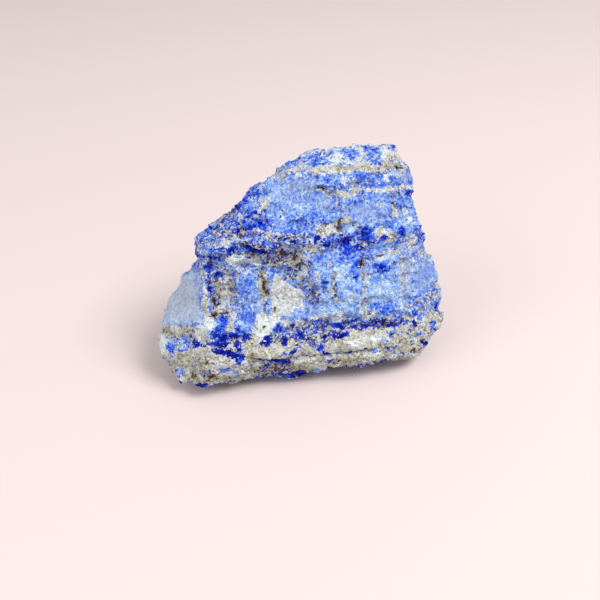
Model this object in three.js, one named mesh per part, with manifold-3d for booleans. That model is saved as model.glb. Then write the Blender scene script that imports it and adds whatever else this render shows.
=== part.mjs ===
// Rough lapis lazuli: one broken lump of banded rock, resting on a small flat spot.
//
// Millimetres, +Z up, +X along the lump's length. The broad broken face looks towards -Y and leans back.
// The origin is on the flat spot, under the middle of the lump's length and depth.
//
// The lump is worked out in the frame of that broad face: x along it, s up it and w straight out of it, held
// in a vector's x, y and z. A ball of clay with the lump's proportions is pressed, point by point, onto the
// planes where the rock broke. Then chips, the steps of the beds, hollows, knobs and swells shape it.

import * as THREE from "three";
import { ImprovedNoise } from "three/addons/math/ImprovedNoise.js";
import { mergeVertices } from "three/addons/utils/BufferGeometryUtils.js";
import Module from "manifold-3d";

const { clamp, degToRad, lerp, smoothstep } = THREE.MathUtils;

// ---- driving dimensions, in millimetres and degrees ----

const FACE_LEAN = 22; // how far the broad face leans back from upright
const FACE_FOOT = [-0.1, -23.8, 2.1]; // where the broad face's plane has s = 0 and w = 0
const HEART = { x: 0, s: 32, w: -15 }; // the point inside the rock that every ray starts from
const CLAY = { x: 41, s: 30, w: 20 }; // half-sizes of the ball of clay
const CLAY_DETAIL = 19; // cuts along each edge of the icosahedron that the ball is made from
const CROWD_TO_FACE = 0.22; // how much closer together the points lie on the broad face
const EDGE_CRISPNESS = 60; // higher leaves sharper edges where two broken planes meet
const FLAT_SPOT_Z = 0;

// The lump's widest line, seen square on to the broad face, anticlockwise from the right: [x, s, w].
const OUTLINE = [
  [42.2, 20.5, -11],
  [41.8, 25.5, -11],
  [41.0, 29.5, -11],
  [39.9, 32.5, -11],
  [38.0, 36.0, -11],
  [37.2, 40.5, -10],
  [35.3, 46.5, -9],
  [34.6, 51.0, -8],
  [34.8, 56.2, -8],
  [34.0, 60.2, -9],
  [32.0, 64.2, -10],
  [29.4, 67.4, -11],
  [25.4, 68.4, -12],
  [17.7, 67.6, -12],
  [7.2, 67.0, -12],
  [1.9, 65.6, -11],
  [-2.6, 62.9, -10],
  [-6.2, 59.5, -8],
  [-12.7, 56.8, -8],
  [-17.0, 53.8, -7],
  [-21.4, 51.3, -7],
  [-26.4, 48.3, -7],
  [-28.5, 44.8, -7],
  [-29.1, 42.5, -6],
  [-29.3, 40.0, -6],
  [-32.0, 36.7, -9],
  [-34.2, 34.1, -12],
  [-35.1, 31.3, -13],
  [-36.8, 28.0, -14],
  [-39.8, 22.5, -15],
  [-41.0, 18.3, -15],
  [-42.0, 14.6, -15],
  [-43.2, 10.6, -15],
  [-43.6, 6.9, -13],
  [-41.7, 4.5, -11],
  [-38.8, 2.2, -9],
  [-35.0, 3.6, -8],
  [-31.5, 2.2, -6],
  [-26.0, 3.4, -5],
  [-19.0, 3.0, -5],
  [-9.5, 2.6, -4],
  [-4.4, 1.6, -4],
  [0.6, 3.2, -4],
  [10.8, 3.4, -4],
  [18.9, 3.2, -4],
  [26.3, 4.6, -5],
  [32.9, 4.6, -6],
  [36.9, 6.6, -8],
  [40.4, 9.9, -9],
  [42.6, 15.0, -10],
];
const FRONT_DRAFT = 0.4; // how much the lump narrows for each millimetre in front of its widest line
const BACK_DRAFT = 0.12; // and behind it

// The planes where the rock broke: each passes through [x, s, w] and faces the way given in the same frame.
const BREAKS = [
  { name: "broad face", through: [0, 45, 0.6], facing: [0, 0.03, 1] },
  { name: "broad face, below the ledge", through: [12, 28, 0.8], facing: [0.04, -0.02, 1] },
  { name: "left face", through: [-29.8, 28, 0.3], facing: [-0.71, 0.02, 0.7] },
  { name: "right face", through: [27, 30, 0.4], facing: [0.5, 0.02, 0.87] },
  { name: "right face, high", through: [29.5, 54, 0.2], facing: [0.72, 0.1, 0.69] },
  { name: "cap", through: [14, 63.2, -0.4], facing: [-0.06, 0.76, 0.65] },
  { name: "shoulder", through: [-21, 50, -0.6], facing: [-0.5, 0.55, 0.67] },
  { name: "lower edge", through: [0, 7.6, 0.2], facing: [0.02, -0.7, 0.72] },
  { name: "lower left corner", through: [-38, 9, -4.5], facing: [-0.55, -0.5, 0.67] },
  { name: "lower right corner", through: [34, 10, -3.5], facing: [0.5, -0.5, 0.7] },
  { name: "back", through: [6, 32, -33], facing: [0.1, 0.42, -0.9] },
  { name: "back, left", through: [-26, 30, -27], facing: [-0.6, 0.38, -0.7] },
  { name: "back, right", through: [33, 30, -25], facing: [0.76, 0.2, -0.62] },
  { name: "back, high", through: [12, 62, -22], facing: [0.1, 0.7, -0.7] },
  { name: "back, behind the shoulder", through: [-14, 51, -22], facing: [-0.5, 0.62, -0.6] },
  { name: "back, low", through: [6, 14, -38.5], facing: [0.16, -0.16, -0.97] },
  { name: "underside, back", through: [0, 11.7, -34], facing: [0.05, -0.52, -0.85] },
  { name: "underside, left", through: [-25, 5.3, -17.2], facing: [-0.36, -0.7, -0.61] },
  { name: "underside, right", through: [27, 5.3, -17.2], facing: [0.42, -0.71, -0.56] },
];

// The whole surface is broken into flat chips, each leaning a little its own way.
const CHIPS = 210;
const CHIP_SLOPE = 0.68; // the steepest slope of a chip against the surface that it was broken from
const CHIP_STEP = [-1.4, 0.2]; // the furthest that a chip moves the surface, in and out
const CHIP_ON_FACE = 0.45; // the share of that on the broad face, which split cleanly
const CHIP_SWELL = 5; // neighbouring chips that are closer than this lean alike

// The beds of the rock, from the top down: a bed reaches up to "top" and stands "proud" of the broken planes.
const BEDS = [
  { name: "white cap", top: 90, proud: -0.3 },
  { name: "tan vein", top: 64.0, proud: -0.9 },
  { name: "upper blue bed", top: 61.2, proud: 0.5 },
  { name: "cream vein", top: 56.8, proud: -0.4 },
  { name: "blue bed", top: 55.2, proud: 0.2 },
  { name: "overhanging bed", top: 47.6, proud: 0.9 },
  { name: "parting under the overhang", top: 41.4, proud: -0.5 },
  { name: "pale blue bed", top: 37.4, proud: 0.2 },
  { name: "parting above the white bed", top: 19.6, proud: -1.9 },
  { name: "white bed", top: 16.6, proud: 0.3 },
  { name: "thin parting", top: 10.6, proud: -0.8 },
  { name: "tan bed", top: 9.4, proud: 0.0 },
];
const BED_EDGE = 0.8; // how far up the lump the step from one bed to the next is spread
const BED_CATCH = 1.1; // points this close to a bed's edge are drawn to it, so that the ledge has a clean rim
const BED_WANDER = { height: 1.1, length: 17 }; // how far, and over what length, a bed's edge wanders
const BED_SHOWS = { least: 0.15, usual: 0.5, most: 1.15, length: 23 }; // share of its step that a bed shows

// Shapes on the broad face. Each covers a rounded box of half-sizes "wide" and "high", "rim" being the share
// of it that slopes, and moves the face out by "out", or in where that is negative.
const FACE_FORMS = [
  { name: "hollow under the overhang", x: -12.5, s: 30, wide: 15.5, high: 11.5, rim: 0.3, out: -2.6 },
  { name: "deep end of the hollow", x: -5.5, s: 29.5, wide: 6.5, high: 8.5, rim: 0.35, out: -1.0 },
  { name: "blue block in the hollow", x: -17.2, s: 29.5, wide: 3.6, high: 9.5, rim: 0.3, out: 1.7 },
  { name: "brow of the overhang", x: -12, s: 44.4, wide: 20, high: 3.4, rim: 0.4, out: 1.5 },
  { name: "bulge of the pale blue bed", x: 13, s: 29, wide: 16, high: 10, rim: 0.8, out: 1.1 },
  { name: "blue mass, low left", x: -24, s: 17.5, wide: 7, high: 5.5, rim: 0.6, out: 1.5 },
  { name: "knob, far left", x: -36, s: 14, wide: 6, high: 5, rim: 0.8, out: 1.4 },
  { name: "dip by the left ridge", x: -25.5, s: 29, wide: 2.6, high: 7, rim: 0.8, out: -1.1 },
  { name: "scoop below the shoulder", x: -2, s: 55, wide: 11, high: 5.5, rim: 0.7, out: -1.2 },
  { name: "notch below the cap", x: -7, s: 61.2, wide: 6, high: 1.6, rim: 0.8, out: -1.2 },
  { name: "bulge of the white bed", x: 16, s: 13.4, wide: 13, high: 3.4, rim: 0.7, out: 1.2 },
  { name: "white lump", x: -13, s: 15, wide: 6.5, high: 4.5, rim: 0.7, out: 1.2 },
  { name: "bay in the lower edge", x: -12, s: 8, wide: 9, high: 2.6, rim: 0.8, out: -0.9 },
  { name: "upright step, right", x: 29, s: 30, wide: 2.4, high: 11, rim: 0.9, out: -0.7 },
];

// The same on the back of the lump.
const BACK_FORMS = [
  { name: "wide hollow", x: -6, s: 36, wide: 20, high: 9, rim: 0.6, out: -2.6 },
  { name: "flake scar", x: 22, s: 22, wide: 12, high: 9, rim: 0.25, out: -2.2 },
  { name: "shelf", x: -14, s: 14, wide: 18, high: 5, rim: 0.4, out: 1.8 },
  { name: "knob", x: 16, s: 50, wide: 9, high: 6, rim: 0.8, out: 1.8 },
];

// Unevenness of the broken rock, coarse to fine: "length" is a swell's size, "height" how far it rises.
const ROUGHNESS = [
  { length: 17, height: 1.3, seed: 3.1 },
  { length: 6, height: 0.7, seed: 6.2 },
  { length: 3.2, height: 0.5, seed: 9.3 },
];
const GRAIN_ALONG_BEDS = 1.8; // swells are this much longer along the beds than across them

const LAPIS = { color: 0x6b86cf, roughness: 0.82, metalness: 0 };

// ---- the broad face's frame ----

const lean = degToRad(FACE_LEAN);
const faceFrame = new THREE.Matrix4()
  .makeBasis(
    new THREE.Vector3(1, 0, 0),
    new THREE.Vector3(0, Math.sin(lean), Math.cos(lean)),
    new THREE.Vector3(0, -Math.cos(lean), Math.sin(lean)),
  )
  .setPosition(...FACE_FOOT);
const heart = new THREE.Vector3(HEART.x, HEART.s, HEART.w);

// ---- noise, from about -1 to 1 ----

const noise = new ImprovedNoise();

// Noise that is the same through the height of a bed, and changes only from place to place round the lump.
function swellRound(point, length, seed) {
  return noise.noise(point.x / length + seed, seed, point.z / length - seed);
}

// Swells that are "length" high, and longer along the beds.
function swell(point, length, seed) {
  const along = length * GRAIN_ALONG_BEDS;
  return noise.noise(point.x / along + seed, point.y / length + seed, point.z / along - seed);
}

// ---- the broken planes ----

const breaks = BREAKS.map(({ through, facing }) => {
  const normal = new THREE.Vector3(...facing).normalize();
  const distance = normal.dot(new THREE.Vector3(...through).sub(heart));
  return { normal, distance };
});

// Where the ray at this angle round the heart crosses the outline: how far it reaches along the face, and w.
function outlineAt(angle) {
  const ray = new THREE.Vector2(Math.cos(angle), Math.sin(angle));
  for (let i = 0; i < OUTLINE.length; i++) {
    const [fromX, fromS, fromW] = OUTLINE[i];
    const [toX, toS, toW] = OUTLINE[(i + 1) % OUTLINE.length];
    const from = new THREE.Vector2(fromX - HEART.x, fromS - HEART.s);
    const to = new THREE.Vector2(toX - HEART.x, toS - HEART.s);
    const fromOff = ray.cross(from);
    const toOff = ray.cross(to);
    if (fromOff > 0 || toOff <= 0) continue;
    const share = fromOff / (fromOff - toOff);
    const crossing = from.lerp(to, share);
    if (crossing.dot(ray) > 0) return { reach: crossing.length(), w: lerp(fromW, toW, share) };
  }
  throw new Error(`the outline doesn't go round the heart at angle ${angle}`);
}

// How far the rock reaches from its heart along a ray, once every break and the outline have cut it.
function reachAlong(ray) {
  const widest = outlineAt(Math.atan2(ray.y, ray.x));
  const inFront = widest.w - HEART.w;
  const flat = Math.hypot(ray.x, ray.y);
  const frontSide = (widest.reach + FRONT_DRAFT * inFront) / (flat + FRONT_DRAFT * ray.z);
  const backSide = (widest.reach - BACK_DRAFT * inFront) / (flat - BACK_DRAFT * ray.z);
  const side = Math.min(...[frontSide, backSide].filter((cut) => cut > 0));
  const planes = breaks
    .filter(({ normal }) => normal.dot(ray) > 0)
    .map(({ normal, distance }) => distance / normal.dot(ray));
  const sum = [side, ...planes].reduce((total, cut) => total + cut ** -EDGE_CRISPNESS, 0);
  return sum ** (-1 / EDGE_CRISPNESS);
}

// ---- what shapes the surface: each function below says how far a point of it moves ----

// Flattens the surface towards the chip that it belongs to, the one whose centre is nearest.
function pushByChips(geometry) {
  const points = geometry.getAttribute("position");
  const normals = geometry.getAttribute("normal");
  const rays = Array.from({ length: points.count }, (_, i) =>
    new THREE.Vector3().fromBufferAttribute(points, i).sub(heart).normalize(),
  );
  const goldenAngle = Math.PI * (3 - Math.sqrt(5));
  const chips = Array.from({ length: CHIPS }, (_, i) => {
    const up = 1 - (2 * i + 1) / CHIPS;
    const round = Math.sqrt(1 - up * up);
    const aim = new THREE.Vector3(round * Math.cos(goldenAngle * i), up, round * Math.sin(goldenAngle * i));
    const index = rays.reduce((best, ray, k) => (ray.dot(aim) > rays[best].dot(aim) ? k : best), 0);
    const centre = new THREE.Vector3().fromBufferAttribute(points, index);
    const leaning = [1.7, 5.2, 8.9].map((seed) => CHIP_SLOPE * swell(centre, CHIP_SWELL, seed));
    const facing = new THREE.Vector3().fromBufferAttribute(normals, index);
    return { centre, facing: facing.add(new THREE.Vector3(...leaning)).normalize() };
  });
  return (point, normal) => {
    const away = chips.map((chip) => chip.centre.distanceToSquared(point));
    const { centre, facing } = chips[away.indexOf(Math.min(...away))];
    const offPlane = facing.dot(centre.clone().sub(point)) / Math.max(0.5, facing.dot(normal));
    const share = lerp(1, CHIP_ON_FACE, smoothstep(normal.z, 0.7, 0.95));
    return normal.clone().multiplyScalar(clamp(offPlane, ...CHIP_STEP) * share);
  };
}

// A point's height among the beds, which wander up and down round the lump.
function bedHeight(point) {
  return point.y + BED_WANDER.height * swellRound(point, BED_WANDER.length, 4.7);
}

// Points near the edge of a bed slide up or down onto one side of its step.
function slideToBedEdge(point, normal) {
  const height = bedHeight(point);
  const offEdges = BEDS.map((bed) => height - bed.top);
  const off = offEdges.reduce((nearest, other) => (Math.abs(other) < Math.abs(nearest) ? other : nearest));
  if (Math.abs(off) > BED_CATCH || Math.abs(normal.y) > 0.6) return new THREE.Vector3();
  return new THREE.Vector3(0, (Math.sign(off) * BED_EDGE) / 2 - off, 0);
}

// The beds push the rock in or out along themselves, and hardly move faces that lie along a bed.
function pushByBeds(point, normal) {
  const height = bedHeight(point);
  const above = (edge) => smoothstep(height, edge - BED_EDGE / 2, edge + BED_EDGE / 2);
  const proud = BEDS.reduce((total, bed, i) => {
    const foot = BEDS[i + 1]?.top ?? -100;
    const within = above(foot) - above(bed.top);
    const shows = BED_SHOWS.usual + swellRound(point, BED_SHOWS.length, 7.3 * i);
    return total + bed.proud * within * clamp(shows, BED_SHOWS.least, BED_SHOWS.most);
  }, 0);
  return new THREE.Vector3(normal.x, 0, normal.z).multiplyScalar(proud);
}

// Raises or sinks the forms of the side that looks along w (side 1) or against it (side -1).
function pushByForms(forms, side) {
  return (point, normal) => {
    const out = forms.reduce((total, form) => {
      const across = Math.abs(point.x - form.x) / form.wide;
      const up = Math.abs(point.y - form.s) / form.high;
      const fromMiddle = Math.cbrt(across ** 3 + up ** 3);
      return total + form.out * (1 - smoothstep(fromMiddle, 1 - form.rim, 1));
    }, 0);
    return new THREE.Vector3(0, 0, side * out * smoothstep(side * normal.z, 0.25, 0.7));
  };
}

function pushByRoughness(point, normal) {
  const rise = ROUGHNESS.reduce(
    (total, { length, height, seed }) => total + height * swell(point, length, seed),
    0,
  );
  return normal.clone().multiplyScalar(rise);
}

// ---- the lump ----

// A ball of rays from the heart, crowded towards the broad face and given the lump's proportions.
function clayRays() {
  const ball = new THREE.IcosahedronGeometry(1, CLAY_DETAIL);
  ball.deleteAttribute("normal");
  ball.deleteAttribute("uv");
  const geometry = mergeVertices(ball);
  const rays = geometry.getAttribute("position");
  const ray = new THREE.Vector3();
  for (let i = 0; i < rays.count; i++) {
    ray.fromBufferAttribute(rays, i).normalize();
    const spread = 1 + CROWD_TO_FACE * ray.z;
    const side = Math.sqrt(1 - CROWD_TO_FACE ** 2) / spread;
    const out = (ray.z + CROWD_TO_FACE) / spread;
    ray.set(ray.x * side * CLAY.x, ray.y * side * CLAY.s, out * CLAY.w).normalize();
    rays.setXYZ(i, ...ray);
  }
  return geometry;
}

function lumpGeometry() {
  const geometry = clayRays();
  const points = geometry.getAttribute("position");
  const point = new THREE.Vector3();
  const normal = new THREE.Vector3();
  for (let i = 0; i < points.count; i++) {
    point.fromBufferAttribute(points, i);
    point.multiplyScalar(reachAlong(point)).add(heart);
    points.setXYZ(i, ...point);
  }
  const steps = [
    pushByChips,
    () => slideToBedEdge,
    () => pushByBeds,
    () => pushByForms(FACE_FORMS, 1),
    () => pushByForms(BACK_FORMS, -1),
    () => pushByRoughness,
  ];
  for (const step of steps) {
    geometry.computeVertexNormals();
    const normals = geometry.getAttribute("normal");
    const push = step(geometry);
    for (let i = 0; i < points.count; i++) {
      point.fromBufferAttribute(points, i);
      normal.fromBufferAttribute(normals, i);
      point.add(push(point, normal));
      points.setXYZ(i, ...point);
    }
  }
  geometry.deleteAttribute("normal");
  return geometry.applyMatrix4(faceFrame);
}

// ---- the flat spot ----

const wasm = await Module();
wasm.setup();

function solidOf(geometry) {
  const merged = mergeVertices(geometry);
  return new wasm.Manifold(
    new wasm.Mesh({
      numProp: 3,
      vertProperties: merged.getAttribute("position").array,
      triVerts: new Uint32Array(merged.index.array),
    }),
  );
}

function geometryOf(solid) {
  const { vertProperties, triVerts } = solid.getMesh();
  return new THREE.BufferGeometry()
    .setAttribute("position", new THREE.BufferAttribute(vertProperties, 3))
    .setIndex(new THREE.BufferAttribute(triVerts, 1));
}

// A box that takes away whatever of the lump hangs below its flat spot.
function belowFlatSpot() {
  const side = 200;
  const box = new THREE.BoxGeometry(side, side, side);
  box.deleteAttribute("normal");
  box.deleteAttribute("uv");
  return box.translate(0, 0, FLAT_SPOT_Z - side / 2);
}

function lapisLump() {
  const lump = solidOf(lumpGeometry()).subtract(solidOf(belowFlatSpot()));
  const geometry = geometryOf(lump).toNonIndexed();
  geometry.computeVertexNormals();
  const mesh = new THREE.Mesh(geometry, new THREE.MeshStandardMaterial(LAPIS));
  mesh.name = "lapis_lump";
  return mesh;
}

const part = new THREE.Group();
part.name = "rough_lapis_lazuli";
part.add(lapisLump());

export default part;
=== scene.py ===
"""Rough lapis lazuli: one broken lump of banded blue rock, resting on a small flat spot.

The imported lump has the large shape. Here a copy of it gets the fine relief of broken rock, and the
minerals that colour it: blue lazurite, white calcite, cream and tan matrix stained by iron, and brown
limonite in the pits.

Places on the lump are in millimetres, in the frame of its broad broken face: x along it, s up it and w out.
"""

from math import cos, radians, sin

import bpy
import numpy as np
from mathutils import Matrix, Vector, noise


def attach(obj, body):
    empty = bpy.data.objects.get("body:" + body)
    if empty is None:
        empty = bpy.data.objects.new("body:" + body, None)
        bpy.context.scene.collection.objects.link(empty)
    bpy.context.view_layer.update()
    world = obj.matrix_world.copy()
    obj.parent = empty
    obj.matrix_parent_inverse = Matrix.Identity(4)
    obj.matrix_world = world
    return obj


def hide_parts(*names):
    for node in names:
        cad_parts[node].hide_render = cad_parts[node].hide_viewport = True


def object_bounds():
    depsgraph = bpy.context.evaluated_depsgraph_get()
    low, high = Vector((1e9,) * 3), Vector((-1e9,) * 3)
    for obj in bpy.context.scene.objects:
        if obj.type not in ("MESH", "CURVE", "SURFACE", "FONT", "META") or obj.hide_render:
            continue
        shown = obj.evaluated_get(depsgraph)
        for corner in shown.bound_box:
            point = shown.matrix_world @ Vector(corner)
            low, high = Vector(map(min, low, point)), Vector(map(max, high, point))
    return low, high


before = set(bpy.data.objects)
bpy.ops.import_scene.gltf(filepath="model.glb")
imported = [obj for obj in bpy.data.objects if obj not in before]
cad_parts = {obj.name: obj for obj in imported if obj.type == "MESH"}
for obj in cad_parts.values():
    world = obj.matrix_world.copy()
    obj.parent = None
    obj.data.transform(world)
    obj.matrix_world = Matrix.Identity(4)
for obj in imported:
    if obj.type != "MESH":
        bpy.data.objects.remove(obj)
cad_low, cad_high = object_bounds()

MM = 0.001  # a millimetre in Blender's metres

# ---- the broad face's frame ----

FACE_LEAN = radians(22)  # how far the broad face leans back from upright
FACE_FOOT = (-0.1, -23.8, 2.1)  # where the broad face's plane has s = 0 and w = 0

# The patches of mineral are laid out on that plane, as seen from this x, s and w. They fade out where the
# surface turns away from that place, between these cosines of the angle.
LAID_OUT_FROM = (-38.0, 81.0, 238.0)
IN_VIEW = (-0.3, -0.1)

# ---- minerals ----

# A mix of minerals is seven shares and measures, each from 0 to 1:
#   blue    the share of grains that are lazurite, the others being pale matrix
#   tone    of the blue grains, from navy through royal and sky blue to ice blue
#   mottle  how much that tone differs from grain to grain
#   stain   of the matrix, from white calcite through cream and tan to brown
#   dirt_and_shade  the share of grains that are brown limonite; in the hollows it also carries painted shade
#   clump   how much the grains gather in clumps
#   veil    how much grey rock powder dulls it
MEASURES = ("blue", "tone", "mottle", "stain", "dirt_and_shade", "clump", "veil")
BLUE, DIRT_AND_SHADE, VEIL = (MEASURES.index(name) for name in ("blue", "dirt_and_shade", "veil"))
MIXES = {
    "speckled blue": (0.80, 0.50, 0.70, 0.32, 0.06, 0.35, 0.05),
    "deep blue": (0.74, 0.33, 0.90, 0.36, 0.12, 0.40, 0.0),
    "sky blue": (0.83, 0.65, 0.65, 0.25, 0.04, 0.35, 0.05),
    "pale blue": (0.86, 0.82, 0.50, 0.16, 0.02, 0.40, 0.05),
    "powder blue": (0.90, 0.56, 0.45, 0.32, 0.04, 0.25, 0.32),
    "grey-blue": (0.95, 0.76, 0.25, 0.40, 0.01, 0.50, 1.0),
    "smooth sky": (0.90, 0.53, 0.45, 0.38, 0.04, 0.40, 0.35),
    "grey sky": (0.70, 0.60, 0.50, 0.44, 0.08, 0.40, 0.45),
    "speckled grey": (0.60, 0.42, 0.90, 0.46, 0.14, 0.30, 0.05),
    "navy in grey": (0.52, 0.12, 0.80, 0.44, 0.12, 0.25, 0.12),
    # A dark parting between beds; where it lies in recesses it is partly painted shade.
    "dark parting and painted shade": (0.62, 0.07, 0.70, 0.54, 0.22, 0.45, 0.05),
    # Dark grains with painted shade, for the underside and the line under the overhang.
    "dark ledge and painted shade": (0.62, 0.20, 0.95, 0.40, 0.20, 0.35, 0.0),
    "navy": (0.95, 0.0, 0.28, 0.30, 0.03, 0.30, 0.0),
    "royal": (0.94, 0.17, 0.52, 0.15, 0.02, 0.30, 0.0),
    "royal on white": (0.80, 0.38, 0.85, 0.12, 0.03, 0.45, 0.0),
    "mid blue": (0.92, 0.34, 0.50, 0.15, 0.02, 0.35, 0.0),
    "light blue": (0.92, 0.55, 0.55, 0.16, 0.02, 0.40, 0.05),
    "blue on white": (0.44, 0.42, 0.80, 0.26, 0.04, 0.50, 0.15),
    "bright white": (0.20, 0.50, 0.90, 0.14, 0.12, 0.30, 0.0),
    "white": (0.14, 0.70, 0.60, 0.14, 0.05, 0.40, 0.0),
    "calcite": (0.16, 0.62, 0.80, 0.31, 0.09, 0.45, 0.22),
    "pale cream": (0.28, 0.50, 0.80, 0.28, 0.05, 0.40, 0.10),
    "cream": (0.15, 0.32, 0.90, 0.45, 0.11, 0.40, 0.0),
    "tan": (0.15, 0.30, 0.80, 0.50, 0.10, 0.40, 0.05),
    "grey-tan": (0.32, 0.42, 0.80, 0.44, 0.09, 0.40, 0.15),
    # A darker copy of tan, for the lower corners: partly their darker rock, partly painted shade.
    "darker tan and painted shade": (0.24, 0.24, 0.80, 0.56, 0.14, 0.40, 0.05),
    "rusty": (0.50, 0.28, 0.90, 0.50, 0.22, 0.45, 0.0),
    "brown": (0.08, 0.15, 0.60, 0.80, 0.58, 0.50, 0.0),
}

# The beds, from the bottom up, with the s at which each begins. They go right round the lump.
BEDS = [
    # Below the lowest bed the underside is painted dark: dark rock and painted shade.
    ("dark ledge and painted shade", -99.0),
    ("tan", 5.4),
    ("grey-tan", 9.0),
    ("cream", 9.9),
    ("navy in grey", 15.8),
    ("speckled grey", 17.9),
    ("sky blue", 19.0),
    ("speckled blue", 37.0),
    ("deep blue", 40.0),
    ("speckled blue", 45.0),
    ("pale cream", 54.9),
    ("speckled blue", 56.4),
    ("tan", 60.9),
    ("blue on white", 63.3),
]
BED_WANDER = (17.0, 0.5)  # the length over which the beds wander up and down, and how far
BED_RAGGED = (3.0, 0.35)  # and the same for their ragged edges
BED_BLUR = 0.4  # the height, each way, over which one bed turns into the next
BED_STRETCH = 1.6  # how many times as long along the beds as across them most patterns are

# Where the patches below don't reach, these at random break up the beds: (mix, size, share of the surface).
STRAY_PATCHES = [
    ("deep blue", 9.0, 0.30),
    ("pale blue", 7.0, 0.26),
    ("cream", 6.0, 0.10),
    ("navy in grey", 5.0, 0.14),
    ("royal", 4.0, 0.16),
    ("tan", 3.0, 0.06),
]
STRAY_STRETCH = 2.2  # how many times as long along the beds as across them those are
STRAY_RIM = 0.04  # how softly they begin, as a height of the noise that shapes them
VEIN_LENGTH = 16.0  # the length over which the white calcite veins there wind
VEIN_SHARE = 0.035  # the share of the surface that they take
VEIN_RIM = 0.4  # the share of a vein's half-width, each way from its edge, over which it fades out

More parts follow.
